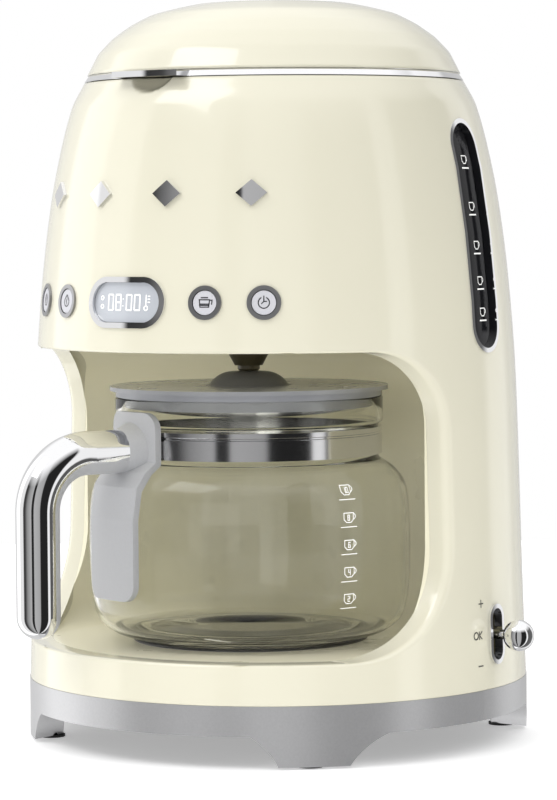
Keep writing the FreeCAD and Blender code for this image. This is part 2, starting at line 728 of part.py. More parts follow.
def make_electrics():
    """Power board, its parts and the cord's gland."""
    board = box((-45, 45), (52, 96), (22.0, 23.6))
    parts = [
        box((-38, -18), (60, 76), (23.6, 34)),
        box((18, 34), (58, 70), (23.6, 31)),
        cylinder(6, (23.6, 35), 0, 66),
        box((-8, 16), (80, 90), (23.6, 30)),
    ]
    save("power_board", fused([board] + parts))
    barrel = Part.makeCylinder(6.0, 12, Vector(0, 116, CORD_Z), Vector(0, 1, 0))
    barrel = barrel.common(body_solid(0, (BODY_BOTTOM, 60)))
    flange = Part.makeCylinder(8.5, 30, Vector(0, 110, CORD_Z), Vector(0, 1, 0)).common(
        skin(0, 0.6, (BODY_BOTTOM, 60)))
    gland = fused([barrel, flange]).cut(
        Part.makeCylinder(3.2, 40, Vector(0, 100, CORD_Z), Vector(0, 1, 0)))
    save("cord_gland", gland)


# ---------------------------------------------------------------- carafe

def carafe_outer(offset):
    """Edges of the carafe's outer side, moved inwards by offset, from the base up to the rim."""
    side = [(radius - offset, height) for radius, height in CARAFE_BODY]
    side[0] = (side[0][0], CARAFE_BASE + 1.4 * offset)
    neck = [
        side[-1], (NECK_WAIST - offset, 139.0), (NECK_WAIST - offset, 154.0),
        (NECK_R - offset, 156.0), (NECK_R - offset, CARAFE_RIM),
    ]
    return side, neck


def carafe_solid(offset):
    """Solid of the carafe's outer shape, moved inwards by offset."""
    side, neck = carafe_outer(offset)
    return spun_points(side + neck[1:] + [(0, CARAFE_RIM), (0, side[0][1])])


def handle_place(reach, height, across=0.0):
    """Point in the handle's upright plane, at a distance from the carafe's axis."""
    side = HANDLE_DIRECTION.cross(UP)
    return Vector(0, AXIS_Y, 0) + HANDLE_DIRECTION * reach + UP * height + side * across


def handle_path(start_reach):
    """Centre line of the handle: out from the neck, round the bend and down."""
    corner = handle_place(HANDLE_REACH, HANDLE_TOP)
    return rounded_path(
        [handle_place(start_reach, HANDLE_TOP), corner, handle_place(HANDLE_REACH, HANDLE_LOW)],
        HANDLE_BEND)


def handle_section(start_reach, outer_side):
    """Part of the handle's round section, split by a line across it."""
    centre = handle_place(start_reach, HANDLE_TOP)
    side = HANDLE_DIRECTION.cross(UP)
    drop = -HANDLE_SPLIT
    half_chord = math.sqrt(HANDLE_R ** 2 - HANDLE_SPLIT ** 2)
    left = centre + UP * drop - side * half_chord
    right = centre + UP * drop + side * half_chord
    far_point = centre + UP * (HANDLE_R if outer_side else -HANDLE_R)
    edges = [Part.Arc(left, far_point, right).toShape(), Part.makeLine(right, left)]
    return Part.Wire(edges)


def handle_sweep(start_reach, outer_side):
    """One half of the handle's grip, with its rounded lower end."""
    path = handle_path(start_reach)
    grip = path.makePipeShell([handle_section(start_reach, outer_side)], True, True)
    end = Part.makeSphere(HANDLE_R, handle_place(HANDLE_REACH, HANDLE_LOW))
    below = box((-FAR, FAR), (-2 * FAR, FAR), (0, HANDLE_LOW))
    end = end.common(below)
    split_at = HANDLE_REACH - HANDLE_SPLIT
    half = Part.makeBox(60, 60, 60, Vector(0, -30, 0))
    half.rotate(Vector(0, 0, 0), UP, math.degrees(math.atan2(HANDLE_DIRECTION.y, HANDLE_DIRECTION.x)))
    half.translate(handle_place(split_at, HANDLE_LOW - 30))
    end = end.common(half) if outer_side else end.cut(half)
    return fused([grip, end])


def mount_outline():
    """Block with rounded upright edges that trims the handle's mount to its outline."""
    low, high = MOUNT_Z
    block = Part.makeBox(60, MOUNT_WIDTH, high - low, Vector(40, -MOUNT_WIDTH / 2, low))
    lengthways = [edge for edge in block.Edges
                  if abs(edge.Vertexes[0].X - edge.Vertexes[1].X) > 1]
    block = block.makeFillet(MOUNT_CORNER, lengthways)
    block.rotate(Vector(0, 0, 0), UP, math.degrees(math.atan2(HANDLE_DIRECTION.y, HANDLE_DIRECTION.x)))
    block.translate(Vector(0, AXIS_Y, 0))
    return block


def make_carafe():
    """Glass jug, its steel band, lid, drip dome and handle."""
    glass = carafe_solid(0).cut(carafe_solid(GLASS_WALL))
    save("carafe_glass", on_axis(glass))
    band = spun_points([
        (NECK_WAIST + 0.05, 140.0), (65.1, 140.0), (65.1, 149.6), (64.4, 150.0), (64.4, 150.6),
        (65.0, 151.0), (65.0, 153.2), (NECK_WAIST + 0.05, 153.2),
    ])
    save("carafe_band", on_axis(band))

    lid = spun_points([
        (21.0, 173.3), (68.2, 173.3), (68.2, 171.2), (65.4, 171.2), (65.4, 168.3), (62.3, 168.3),
        (62.3, 163.0), (60.3, 163.0), (60.3, 170.8), (21.0, 170.8),
    ])
    save("carafe_lid", on_axis(lid))
    dome_curve = Part.Arc(
        Vector(19.6, 0, 173.4), Vector(15.0, 0, 178.0), Vector(DOME_TOP_R, 0, DOME_TOP))
    dome = spun([dome_curve.toShape()] + line_edges([
        (DOME_TOP_R, DOME_TOP), (2.5, DOME_TOP), (2.5, DOME_TOP - 2), (6.5, DOME_TOP - 2),
        (16.5, 173.0), (16.5, 170.0),
        (20.9, 170.0), (20.9, 173.4), (19.6, 173.4),
    ]))
    save("drip_dome", on_axis(dome))

    plate_section = [
        (66.2, 162.5), (69.2, 162.5), (69.2, 139.0), (74.8, 134.4), (79.6, 127.4), (81.9, 112.0),
        (81.9, 73.0), (78.9, 73.0), (78.9, 112.0), (76.9, 125.4), (71.6, 133.2), (66.2, 137.6),
    ]
    plate = on_axis(spun_points(plate_section))
    plate_window = mount_outline()
    plate = plate.common(plate_window)
    boss = Part.makeCone(BOSS_R, HANDLE_R, BOSS_LENGTH,
                         handle_place(BOSS_REACH - BOSS_LENGTH, HANDLE_TOP), HANDLE_DIRECTION)
    boss = boss.cut(cylinder(69.0, (120, 170), 0, AXIS_Y))
    inlay = handle_sweep(BOSS_REACH, False)
    core = fused([plate, boss, inlay])
    chrome = handle_sweep(BOSS_REACH, True)
    core = core.cut(chrome).cut(on_axis(carafe_solid(-0.2)))
    save("handle_core", core)
    save("handle_shell", chrome)
    clip = tube(66.1, 65.15, (141.0, 149.0), 0, AXIS_Y).common(plate_window)
    save("handle_clip", clip)


def main():
    """Write every piece."""
    os.makedirs("parts", exist_ok=True)
    make_casing()
    make_base()
    make_lid()
    make_controls()
    make_side()
    make_water_path()
    make_warming_plate()
    make_filter()
    make_electrics()
    make_carafe()


main()
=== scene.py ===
import json
import math

import bmesh
import bpy
from mathutils import Matrix, Vector


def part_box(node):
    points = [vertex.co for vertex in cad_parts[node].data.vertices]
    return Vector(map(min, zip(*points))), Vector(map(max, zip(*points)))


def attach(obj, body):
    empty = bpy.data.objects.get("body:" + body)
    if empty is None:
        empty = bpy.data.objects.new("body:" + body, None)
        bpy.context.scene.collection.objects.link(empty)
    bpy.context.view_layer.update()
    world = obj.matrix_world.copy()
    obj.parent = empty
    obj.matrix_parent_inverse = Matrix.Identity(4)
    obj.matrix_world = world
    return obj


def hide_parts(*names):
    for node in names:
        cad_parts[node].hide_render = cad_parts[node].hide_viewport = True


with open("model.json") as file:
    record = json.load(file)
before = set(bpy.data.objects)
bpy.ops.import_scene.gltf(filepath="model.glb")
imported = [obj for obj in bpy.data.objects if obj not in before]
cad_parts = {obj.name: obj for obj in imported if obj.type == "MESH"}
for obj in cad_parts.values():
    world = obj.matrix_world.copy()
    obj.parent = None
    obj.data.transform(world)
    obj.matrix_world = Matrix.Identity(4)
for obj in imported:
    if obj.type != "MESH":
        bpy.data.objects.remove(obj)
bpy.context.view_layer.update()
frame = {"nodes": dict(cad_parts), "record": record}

# Sizes are in millimetres from the body's own upright axis, and become metres in place(). The
# camera, the lights and the floor are placed in metres.
MM = 0.001
RING_LOW, RING_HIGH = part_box("base_ring")
AXIS_X = (RING_LOW.x + RING_HIGH.x) / 2
AXIS_Y = (RING_LOW.y + RING_HIGH.y) / 2
BAND_LOW, BAND_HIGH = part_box("carafe_band")
JUG_Y = ((BAND_LOW.y + BAND_HIGH.y) / 2 - AXIS_Y) / MM

# (radius, height) up the body, up the lid, and up the jug.
BODY_OUTLINE = [
    (123.2, 29.0), (121.3, 86.0), (118.6, 176.0), (116.0, 215.0), (112.6, 247.0),
    (107.6, 278.0), (99.8, 309.0), (93.4, 321.5),
]
LID_OUTLINE = [
    (91.9, 325.2), (86.6, 335.6), (79.7, 342.9), (70.8, 349.3), (60.5, 354.6),
    (39.3, 359.6), (21.9, 360.8), (0.0, 361.0),
]
JUG_OUTLINE = [
    (56.8, 50.3), (66.3, 53.0), (73.8, 58.7), (77.0, 67.0), (78.4, 80.0), (78.5, 110.0),
    (76.4, 125.0), (71.0, 132.8), (64.6, 137.2),
]
# Middle line of the buttons and the display, sideways places of the buttons, and the angle of
# the water window from straight front.
CONTROL_Z = 216.0
BUTTON_X = (-66.4, -42.0, 42.0, 66.4)
LEVEL_ANGLE = 97.0


def place(x, y, z):
    """Point in metres from millimetres about the body's axis."""
    return Vector((AXIS_X + x * MM, AXIS_Y + y * MM, z * MM))


def spline(points, value):
    """Smooth curve through (result, position) points, read at one position."""
    last = len(points) - 1
    index = 0
    while index < last - 1 and value > points[index + 1][1]:
        index += 1

    def slope(i):
        low = points[max(i - 1, 0)]
        high = points[min(i + 1, last)]
        return (high[0] - low[0]) / (high[1] - low[1])

    (a, start), (b, end) = points[index], points[index + 1]
    span = end - start
    t = min(max((value - start) / span, 0), 1)
    first = slope(index) * span
    second = slope(index + 1) * span
    return ((2 * t ** 3 - 3 * t ** 2 + 1) * a + (t ** 3 - 2 * t ** 2 + t) * first
            + (-2 * t ** 3 + 3 * t ** 2) * b + (t ** 3 - t ** 2) * second)


def body_radius(z):
    """Radius of the body's smooth side at one height."""
    return spline(BODY_OUTLINE, z)


def ring_point(radius, angle, z, y_centre=0.0):
    """Point at an angle from straight front, positive to the right."""
    turn = math.radians(angle)
    return place(radius * math.sin(turn), y_centre - radius * math.cos(turn), z)


# ---------------------------------------------------------------- materials

# Roughness of a clear coat, deepest relief in metres, and the stretch of the noise that carries
# the change of colour.
COAT_ROUGHNESS = 0.03
RELIEF_DEPTH = 0.0002
TINT_FROM = 0.3
TINT_TO = 0.7


def surface(name, color, rough=0.4, metallic=0.0, scale=60.0, tint=0.03, wear=0.06, bump=0.02,
            stretch=(1, 1, 1), coat=0.0, glassy=0.0, ior=1.5, glow=0.0):
    """Procedural material whose colour, gloss and relief vary finely with one noise.

    The tint is the share by which the colour varies, wear the amount by which the roughness
    varies, and stretch scales the noise along each axis.
    """
    mat = bpy.data.materials.new(name)
    mat.use_nodes = True
    nodes = mat.node_tree.nodes
    links = mat.node_tree.links
    shader = nodes["Principled BSDF"]
    shader.inputs["Metallic"].default_value = metallic
    shader.inputs["IOR"].default_value = ior
    shader.inputs["Coat Weight"].default_value = coat
    shader.inputs["Coat Roughness"].default_value = COAT_ROUGHNESS
    shader.inputs["Transmission Weight"].default_value = glassy
    if glow:
        shader.inputs["Emission Color"].default_value = (*color, 1)
        shader.inputs["Emission Strength"].default_value = glow
    coords = nodes.new("ShaderNodeTexCoord")
    mapping = nodes.new("ShaderNodeMapping")
    mapping.inputs["Scale"].default_value = stretch
    noise = nodes.new("ShaderNodeTexNoise")
    noise.inputs["Scale"].default_value = scale
    noise.inputs["Detail"].default_value = 4.0
    links.new(coords.outputs["Object"], mapping.inputs["Vector"])
    links.new(mapping.outputs["Vector"], noise.inputs["Vector"])
    ramp = nodes.new("ShaderNodeValToRGB")
    ramp.color_ramp.elements[0].position = TINT_FROM
    ramp.color_ramp.elements[1].position = TINT_TO
    ramp.color_ramp.elements[0].color = (*[c * (1 - tint) for c in color], 1)
    ramp.color_ramp.elements[1].color = (*[min(c * (1 + tint), 1) for c in color], 1)
    links.new(noise.outputs["Fac"], ramp.inputs["Fac"])
    links.new(ramp.outputs["Color"], shader.inputs["Base Color"])
    spread = nodes.new("ShaderNodeMapRange")
    spread.inputs["To Min"].default_value = max(rough - wear, 0.0)
    spread.inputs["To Max"].default_value = min(rough + wear, 1.0)
    links.new(noise.outputs["Fac"], spread.inputs["Value"])
    links.new(spread.outputs["Result"], shader.inputs["Roughness"])
    if bump:
        relief = nodes.new("ShaderNodeBump")
        relief.inputs["Strength"].default_value = bump
        relief.inputs["Distance"].default_value = RELIEF_DEPTH
        links.new(noise.outputs["Fac"], relief.inputs["Height"])
        links.new(relief.outputs["Normal"], shader.inputs["Normal"])
    return mat


CREAM = (0.84, 0.81, 0.655)
LOOKS = {
    "cream_enamel": surface("cream enamel", CREAM, 0.16, scale=18, tint=0.008, wear=0.02,
                            bump=0.0, coat=0.6),
    # Cream plastic of the alcove's liner, set paler than the enamel and given a faint glow:
    # painted light that brightens the shaded alcove.
    "cream_plastic": surface("cream plastic with painted glow", (0.92, 0.88, 0.68), 0.28, scale=25, tint=0.01,
                             wear=0.03, bump=0.0, coat=0.2, glow=0.08),
    "satin_silver": surface("satin silver", (0.6, 0.6, 0.61), 0.34, metallic=0.6, scale=900,
                            tint=0.03, wear=0.05, bump=0.02),
    "chrome": surface("chrome", (0.86, 0.86, 0.87), 0.05, metallic=1.0, scale=30, tint=0.01,
                      wear=0.02, bump=0.0),
    "dark_metal": surface("dark metal", (0.36, 0.36, 0.37), 0.3, metallic=1.0, scale=500,
                          tint=0.02, wear=0.04, bump=0.0),
    "pale_plastic": surface("pale plastic", (0.66, 0.66, 0.70), 0.4, scale=900, tint=0.02,
                            bump=0.01),
    "display_glass": surface("display glass", (0.6, 0.63, 0.68), 0.12, scale=12, tint=0.08,
                             wear=0.03, bump=0.0, coat=0.8),
    "black_plastic": surface("black plastic", (0.02, 0.02, 0.02), 0.5, scale=900, bump=0.05),
    "smoked_glass": surface("smoked glass", (0.012, 0.012, 0.014), 0.1, scale=14, tint=0.3,
                            wear=0.02, bump=0.0, ior=1.18),
    "steel": surface("steel", (0.5, 0.5, 0.51), 0.3, metallic=1.0, scale=500, tint=0.05,
                     wear=0.08, bump=0.04),
    "rubber": surface("rubber", (0.03, 0.03, 0.03), 0.75, scale=600, bump=0.1),
    "grey_plastic": surface("grey plastic", (0.2, 0.2, 0.21), 0.45, scale=800, bump=0.05),
    "circuit_board": surface("circuit board", (0.02, 0.12, 0.05), 0.35, scale=200, tint=0.3),
    "clear_plastic": surface("clear plastic", (0.7, 0.72, 0.75), 0.15, scale=30, glassy=0.8),
    "silicone": surface("silicone", (0.62, 0.6, 0.57), 0.45, scale=300, bump=0.04),
    "aluminium": surface("aluminium", (0.6, 0.6, 0.61), 0.4, metallic=1.0, scale=300, tint=0.06,
                         wear=0.1, bump=0.05),
    "dark_steel": surface("dark steel", (0.06, 0.06, 0.06), 0.4, scale=500, bump=0.06),
    "brown_plastic": surface("brown plastic", (0.10, 0.085, 0.045), 0.3, scale=40, tint=0.05,
                             wear=0.05, coat=0.2),
    "steel_mesh": surface("steel mesh", (0.42, 0.42, 0.42), 0.4, metallic=1.0, scale=1500,
                          tint=0.3, wear=0.1, bump=0.5),
    "clear_glass": surface("clear glass", (0.985, 0.985, 0.955), 0.0, scale=10, tint=0.004,
                           wear=0.0, bump=0.0, glassy=1.0, ior=1.3),
    "polished_steel": surface("polished steel", (0.7, 0.7, 0.71), 0.14, metallic=1.0, scale=400,
                              tint=0.03, wear=0.04, bump=0.01, stretch=(1, 1, 18)),
    "smoke_plastic": surface("smoke plastic", (0.42, 0.43, 0.46), 0.22, scale=60, tint=0.04,
                             wear=0.05, bump=0.01, glassy=0.25),
    "dark_grey_plastic": surface("dark grey plastic", (0.17, 0.17, 0.175), 0.42, scale=700,
                                 bump=0.05),
    "light_grey_plastic": surface("light grey plastic", (0.47, 0.475, 0.49), 0.42, scale=900,
                                  tint=0.02, bump=0.05),
}
# White print that glows. On the display this glow is the display's own light; on the water
# window's scale and the carafe's scale it is a painted glow, since those prints are no lamp.
DISPLAY_LIGHT_AND_PAINTED_GLOW_PRINT = surface("white print, display light and painted glow", (0.9, 0.9, 0.88), 0.5, scale=400, glow=0.4)
BLACK_PRINT = surface("black print", (0.02, 0.02, 0.025), 0.5, scale=400)
GREY_PRINT = surface("grey print", (0.08, 0.08, 0.07), 0.5, scale=400)

SLOT_OF = {part["node"]: part["material_slot"] for part in frame["record"]["subparts"]}
for node, thing in frame["nodes"].items():
    thing.data.materials.clear()
    thing.data.materials.append(LOOKS[SLOT_OF[node]])


# ---------------------------------------------------------------- mesh helpers

# Points nearer to each other than this, in metres, become one.
MERGE_DISTANCE = 1e-6
# Radius in millimetres of the small ring that closes a turned piece at its axis.
POLE_R = 0.02
LEAST_RADIUS = 0.001


def finished(name, points, faces, look, body, instead_of=(), smooth=True):
    """Make an object from a mesh, and ride it on its body."""
    mesh = bpy.data.meshes.new(name)
    mesh.from_pydata(points, [], faces)
    mesh.validate()
    sheet = bmesh.new()
    sheet.from_mesh(mesh)
    bmesh.ops.remove_doubles(sheet, verts=sheet.verts, dist=MERGE_DISTANCE)
    bmesh.ops.recalc_face_normals(sheet, faces=sheet.faces)
    sheet.to_mesh(mesh)
    sheet.free()
    mesh.update()
    mesh.materials.append(look)
    for face in mesh.polygons:
        face.use_smooth = smooth
    thing = bpy.data.objects.new(name, mesh)
    bpy.context.scene.collection.objects.link(thing)
    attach(thing, body)
    if instead_of:
        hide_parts(*instead_of)
    return thing


def turned(outline, y_centre, steps):
    """Points and faces of a closed (radius, height) outline turned about an upright axis."""
    points = []
    faces = []
    count = len(outline)
    for step in range(steps):
        for radius, z in outline:
            points.append(ring_point(max(radius, LEAST_RADIUS), 360 * step / steps, z, y_centre))
    for step in range(steps):
        here = step * count
        there = ((step + 1) % steps) * count
        for i in range(count):
            j = (i + 1) % count
            faces.append((here + i, here + j, there + j, there + i))
    return points, faces


# ---------------------------------------------------------------- body shell with its soft lip

# The mouth of the alcove: its floor and ceiling, the line of its sides, and its corners.
FLOOR_Z = 48.6
CEILING_Z = 192.4
MOUTH_Y = -22.0
TOP_CORNER = 38.0
LOW_CORNER = 52.0
# How far the round lip reaches over the shell, beside the mouth and above or below it, and the
# depths of the rows of points on the short wall behind the lip.
LIP_SIDE = 4.2
LIP_LEVEL = 1.3
LIP_DEPTHS = (6.5, 9.0, 11.0)
# The shell's lower edge, its wall, and its rim under the lid.
SHELL_FOOT_Z = 29.7
SHELL_WALL = 2.6
RIM_Z = 321.5
RIM_BEVEL = 0.5
RIM_DEPTH = 8.0
# The alcove's round wall, and how near to it a corner of the solid's mesh counts as on it.
RECESS_RADIUS = 106.0
RECESS_Y = -36.0
RECESS_CORNER = 14.0
ON_WALL = 0.12
# Openings behind the rings, the bezels and the frame. The ones in front are all within
# CONTROL_BAND above or below CONTROL_Z.
CONTROL_BAND = 14.0
BUTTON_HOLE_R = 7.1
DISPLAY_HOLE_R = 10.7
DISPLAY_HALF_STRAIGHT = 11.0
LEVEL_HOLE = {"y": 14.0, "width": 24.6, "low": 191.2, "high": 300.8}
LEVER_HOLE = {"y": 13.0, "width": 11.6, "low": 42.0, "high": 68.8}
# The round thumb scoop under the lid's tab. Its centre stands outside the rim.
SCOOP_X = -1.0
SCOOP_Z = 330.5
SCOOP_R = 16.0
SCOOP_OUT = 5.0
SCOOP_HALF_ANGLE = 20.0
# Numbers of steps: down and up the shell, round it, and round the lip's own curve.
FOOT_STEPS = 14
LOW_CORNER_STEPS = 36
SIDE_STEPS = 24
TOP_CORNER_STEPS = 30
HEAD_STEPS = 110
FRONT_STEPS = 240
BACK_STEPS = 340
LIP_STEPS = 7
# A wider step than this, in degrees, is the one that closes a row, and holds no opening.
WIDEST_STEP = 5.0


def mouth_corner(y_centre, z_centre, corner, forward, upward):
    """One spot on a corner of the mouth: the lip's width, the lip's outer edge, the true edge."""
    lip = LIP_LEVEL + (LIP_SIDE - LIP_LEVEL) * forward
    outer = (y_centre + (corner + LIP_SIDE) * forward, z_centre + (corner + LIP_LEVEL) * upward)
    true = (y_centre + corner * forward, z_centre + corner * upward)
    return lip, outer, true


def mouth_outline():
    """Right edge of the mouth from floor to ceiling: lip width, and outer and true (y, z)."""
    spots = []
    low_z = FLOOR_Z + LOW_CORNER
    high_z = CEILING_Z - TOP_CORNER
    for step in range(LOW_CORNER_STEPS + 1):
        turn = math.radians(90 * step / LOW_CORNER_STEPS)
        spots.append(mouth_corner(MOUTH_Y - LOW_CORNER, low_z, LOW_CORNER,
                                  math.sin(turn), -math.cos(turn)))
    for step in range(1, SIDE_STEPS):
        z = low_z + (high_z - low_z) * step / SIDE_STEPS
        spots.append((LIP_SIDE, (MOUTH_Y + LIP_SIDE, z), (MOUTH_Y, z)))
    for step in range(TOP_CORNER_STEPS + 1):
        turn = math.radians(90 * step / TOP_CORNER_STEPS)
        spots.append(mouth_corner(MOUTH_Y - TOP_CORNER, high_z, TOP_CORNER,
                                  math.cos(turn), math.sin(turn)))
    return spots


def in_slot(y, z, slot):
    """True inside an upright slot shape with round ends."""
    radius = slot["width"] / 2
    nearest = min(max(z, slot["low"] + radius), slot["high"] - radius)
    return math.hypot(y - slot["y"], z - nearest) < radius


def in_hole(angle, z):
    """True where the shell is open behind a bezel, frame or ring."""
    radius = body_radius(z)
    x = radius * math.sin(math.radians(angle))
    y = -radius * math.cos(math.radians(angle))
    if y < 0 and abs(z - CONTROL_Z) < CONTROL_BAND:
        for button in BUTTON_X:
            across = radius * (math.asin(x / radius) - math.asin(button / radius))
            if math.hypot(across, z - CONTROL_Z) < BUTTON_HOLE_R:
                return True
        overhang = max(abs(x) - DISPLAY_HALF_STRAIGHT, 0)
        if math.hypot(overhang, z - CONTROL_Z) < DISPLAY_HOLE_R:
            return True
    return x > 0 and (in_slot(y, z, LEVEL_HOLE) or in_slot(y, z, LEVER_HOLE))


def dented(radius, angle, z):
    """Radius after the thumb scoop under the lid's tab."""
    x = radius * math.sin(math.radians(angle)) - SCOOP_X
    left = SCOOP_R ** 2 - x * x - (z - SCOOP_Z) ** 2
    if left <= 0 or abs(angle) > SCOOP_HALF_ANGLE:
        return radius
    return min(radius, BODY_OUTLINE[-1][0] + SCOOP_OUT - math.sqrt(left))


class Sheet:
    """Points and faces of the shell while it grows, with the angle and height of each point."""

    def __init__(self):
        self.points = []
        self.faces = []
        self.spots = []

    def add(self, point, angle=0.0, z=0.0):
        """Add a point and return its number."""
        self.points.append(point)
        self.spots.append((angle, z))
        return len(self.points) - 1

    def full_row(self, z, side, radius=None):
        """Row all round the shell: in front between the mouth's two sides, then behind."""
        front = [-side + 2 * side * i / FRONT_STEPS for i in range(FRONT_STEPS + 1)]
        back = [side + (360 - 2 * side) * i / BACK_STEPS for i in range(1, BACK_STEPS)]
        flat = body_radius(z) if radius is None else radius
        return [self.add(ring_point(dented(flat, angle, z), angle, z), angle, z)
                for angle in front + back]

    def open_row(self, z, side):
        """Row behind the mouth, from its right side round to its left side."""
        back = [side + (360 - 2 * side) * i / BACK_STEPS for i in range(BACK_STEPS + 1)]
        return [self.add(ring_point(body_radius(z), angle, z), angle, z) for angle in back]

    def join(self, low, high, closed):
        """Faces between a row and the row above it, except over the shell's openings."""
        for i in range(len(low) if closed else len(low) - 1):
            j = (i + 1) % len(low)
            corners = (low[i], low[j], high[j], high[i])
            angle = self.spots[low[i]][0]
            step = self.spots[low[j]][0] - angle
            z = sum(self.spots[corner][1] for corner in corners) / 4
            if abs(step) >= WIDEST_STEP or not in_hole(angle + step / 2, z):
                self.faces.append(corners)

    def join_loops(self, outer, inner):
        """Faces between two closed loops of the same length."""
        for i in range(len(outer)):
            j = (i + 1) % len(outer)
            self.faces.append((outer[i], inner[i], inner[j], outer[j]))


def back_of(row):
    """The part of a full row that an open row has."""
    return row[FRONT_STEPS:] + row[:1]


def mouth_loop(sheet, floor_row, middle, ceiling_row, outline):
    """Rim of the mouth as a loop: along the floor to the right, up, back to the left, down.

    Each entry has the point's number, the lip's width, which edge it is on, its angle on a level
    edge or its y on an upright one, and its height.
    """
    upright = list(zip(middle, outline))[1:-1]
    loop = []
    for point in floor_row[:FRONT_STEPS + 1]:
        loop.append((point, LIP_LEVEL, "level", sheet.spots[point][0], FLOOR_Z))
    for row, (lip, _, (y, z)) in upright:
        loop.append((row[0], lip, "right", y, z))
    for point in reversed(ceiling_row[:FRONT_STEPS + 1]):
        loop.append((point, LIP_LEVEL, "level", sheet.spots[point][0], CEILING_Z))
    for row, (lip, _, (y, z)) in reversed(upright):
        loop.append((row[-1], lip, "left", y, z))
    return loop


def rim_point(entry, depth):
    """Point on the mouth's true edge, at a depth below the shell's outer face."""
    _, _, edge, across, z = entry
    radius = body_radius(z) - depth
    if edge == "level":
        return ring_point(radius, across, z)
    x = math.sqrt(radius * radius - across * across)
    return place(-x if edge == "left" else x, across, z)


def add_lip(sheet, loop):
    """Quarter-round lip along the rim of the mouth, and the short wall behind it."""
    previous = [entry[0] for entry in loop]
    for step in range(1, LIP_STEPS + 1):
        turn = math.radians(90 * step / LIP_STEPS)
        row = []
        for entry in loop:
            outer = sheet.points[entry[0]]
            corner = rim_point(entry, 0)
            out = corner - rim_point(entry, entry[1])
            inwards = corner - outer
            row.append(sheet.add(outer - out + out * math.cos(turn) + inwards * math.sin(turn)))
        sheet.join_loops(previous, row)
        previous = row
    for depth in LIP_DEPTHS:
        row = [sheet.add(rim_point(entry, depth)) for entry in loop]
        sheet.join_loops(previous, row)
        previous = row


def off_wall(corner):
    """Distance in millimetres from a point in metres to the alcove's round wall."""
    x = (corner.x - AXIS_X) / MM
    y = (corner.y - AXIS_Y) / MM - RECESS_Y
    z = corner.z / MM
    reach = math.hypot(x, y) - (RECESS_RADIUS - RECESS_CORNER)
    if reach <= 0:
        return math.inf
    low = FLOOR_Z + RECESS_CORNER
    high = CEILING_Z - RECESS_CORNER
    beyond = max(z - high, low - z, 0)
    return abs(math.hypot(reach, beyond) - RECESS_CORNER)


def add_recess_walls(sheet):
    """Add the parts of the alcove's round wall that belong to the shell, beside the mouth."""
    source = frame["nodes"]["body_shell"].data
    for face in source.polygons:
        corners = [source.vertices[i].co for i in face.vertices]
        if max(off_wall(corner) for corner in corners) <= ON_WALL:
            sheet.faces.append(tuple([sheet.add(corner.copy()) for corner in corners]))


def body_shell():
    """Outer shell as one smooth sheet with a rounded lip round the mouth of the alcove."""
    sheet = Sheet()
    outline = mouth_outline()
    sides = [math.degrees(math.acos(-y / body_radius(z))) for _, (y, z), _ in outline]
    low_z = outline[0][1][1]
    high_z = outline[-1][1][1]

    foot = []
    for step in range(FOOT_STEPS + 1):
        z = SHELL_FOOT_Z + (low_z - SHELL_FOOT_Z) * step / FOOT_STEPS
        foot.append(sheet.full_row(z, sides[0]))
    for low, high in zip(foot, foot[1:]):
        sheet.join(low, high, True)

    middle = [back_of(foot[-1])]
    for (_, (_, z), _), side in list(zip(outline, sides))[1:-1]:
        middle.append(sheet.open_row(z, side))
    head = [sheet.full_row(high_z, sides[-1])]
    middle.append(back_of(head[0]))
    for low, high in zip(middle, middle[1:]):
        sheet.join(low, high, False)

    for step in range(1, HEAD_STEPS + 1):
        z = high_z + (RIM_Z - RIM_BEVEL - high_z) * step / HEAD_STEPS
        head.append(sheet.full_row(z, sides[-1]))
    rim_radius = BODY_OUTLINE[-1][0]
    head.append(sheet.full_row(RIM_Z, sides[-1], rim_radius - RIM_BEVEL))
    head.append(sheet.full_row(RIM_Z, sides[-1], rim_radius - SHELL_WALL))
    head.append(sheet.full_row(RIM_Z - RIM_DEPTH, sides[-1], rim_radius - SHELL_WALL))
    for low, high in zip(head, head[1:]):
        sheet.join(low, high, True)

    add_lip(sheet, mouth_loop(sheet, foot[-1], middle, head[0], outline))
    add_recess_walls(sheet)
    finished("body_shell_enamel", sheet.points, sheet.faces, LOOKS["cream_enamel"], "machine",
             ["body_shell"])


body_shell()


# ---------------------------------------------------------------- lid

LID_WALL = 2.2
LID_ROWS = 40
LID_STEPS = 256
LID_RIM_BEVEL = 0.6
LID_RIM_DROP = 0.05
LID_INNER_DROP = 0.8 * LID_WALL
# The notch behind for the hinge.
NOTCH_LOW = (-30.0, 82.5, 310.0)
NOTCH_HIGH = (30.0, 130.0, 331.0)


def lid_radius(z):
    """Radius of the dome at one height, with the square of it even between outline points."""
    for (wide, low), (narrow, high) in zip(LID_OUTLINE, LID_OUTLINE[1:]):
        if z <= high:
            share = (z - low) / (high - low)
            return math.sqrt(max((wide ** 2) * (1 - share) + (narrow ** 2) * share, 0))
    return 0.0


def cut_notch(thing):
    """Cut the hinge's notch out of the lid."""
    block = bmesh.new()
    bmesh.ops.create_cube(block, size=1.0)
    low = place(*NOTCH_LOW)
    high = place(*NOTCH_HIGH)
    for corner in block.verts:
        corner.co = Vector([low[k] + (corner.co[k] + 0.5) * (high[k] - low[k]) for k in range(3)])
    cutter_mesh = bpy.data.meshes.new("notch")
    block.to_mesh(cutter_mesh)
    block.free()
    cutter = bpy.data.objects.new("notch", cutter_mesh)
    bpy.context.scene.collection.objects.link(cutter)
    cut = thing.modifiers.new("notch", "BOOLEAN")
    cut.object = cutter
    cut.operation = "DIFFERENCE"
    graph = bpy.context.evaluated_depsgraph_get()
    result = bpy.data.meshes.new_from_object(thing.evaluated_get(graph))
    thing.modifiers.clear()
    thing.data = result
    bpy.data.objects.remove(cutter)


